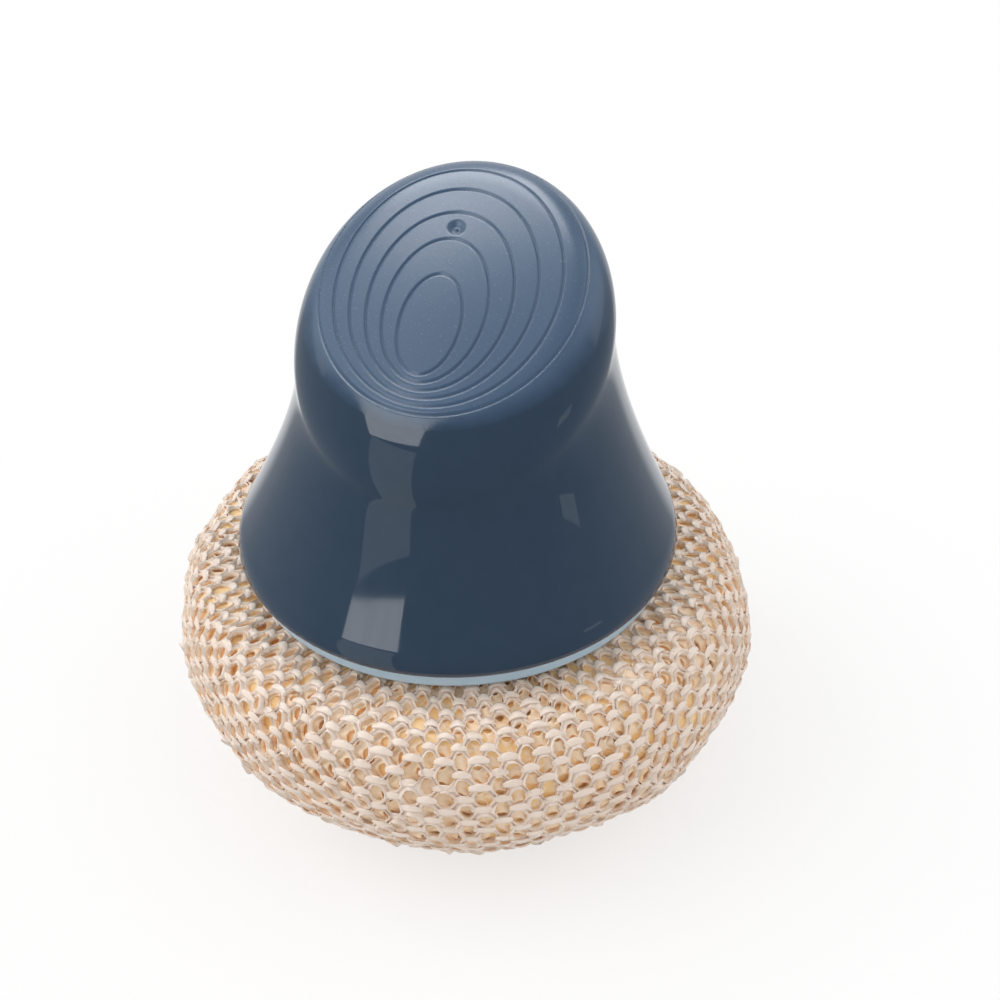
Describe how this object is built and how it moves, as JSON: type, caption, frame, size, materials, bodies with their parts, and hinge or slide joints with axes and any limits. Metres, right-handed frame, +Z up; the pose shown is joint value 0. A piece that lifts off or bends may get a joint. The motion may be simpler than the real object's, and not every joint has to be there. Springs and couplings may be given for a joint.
{
  "type": "pot scrubber",
  "caption": "Palm-sized pot scrubber: a round ball of knitted ribbon hooked under a bell-shaped plastic handle with a sloping, grooved thumb pad.",
  "frame": {"origin": "centre of the ball's foot, on the surface that the scrubber stands on", "axes": "+Z up along the axis of the ball and handle; the thumb pad slopes down towards -Y; +X to the right of the pad"},
  "size_m": [0.09, 0.09, 0.085],
  "materials": {
    "handle_abs": "glossy navy moulding with a fine matte thumb pad",
    "plate_pp": "pale blue, satin",
    "crown_pp": "natural white, satin",
    "zinc_steel": "bright zinc plate",
    "ring_pp": "natural white, satin",
    "net_outer": "cream ribbon knit, slightly glossy",
    "net_inner": "cream ribbon knit, amber in its own shade"
  },
  "bodies": {
    "ball": {"outer_sleeve": "net_outer", "inner_roll": "net_inner"},
    "holder": {"base_plate": "plate_pp", "claw_crown": "crown_pp", "crown_screw": "zinc_steel", "gather_ring": "ring_pp"},
    "handle": {"handle_shell": "handle_abs"}
  },
  "joints": [
    {"name": "ball_press", "type": "slide", "parent": "ball", "child": "holder", "axis": [0, 0, 1], "range_m": [-0.008, 0], "stiffness_N_per_m": 2500, "springref_m": 0.0004, "deforming": ["outer_sleeve", "inner_roll"]},
    {"name": "twist_lock", "type": "hinge", "parent": "holder", "child": "handle", "pos_m": [0, 0, 0.036], "axis": [0, 0, 1], "range_deg": [0, 60]}
  ]
}
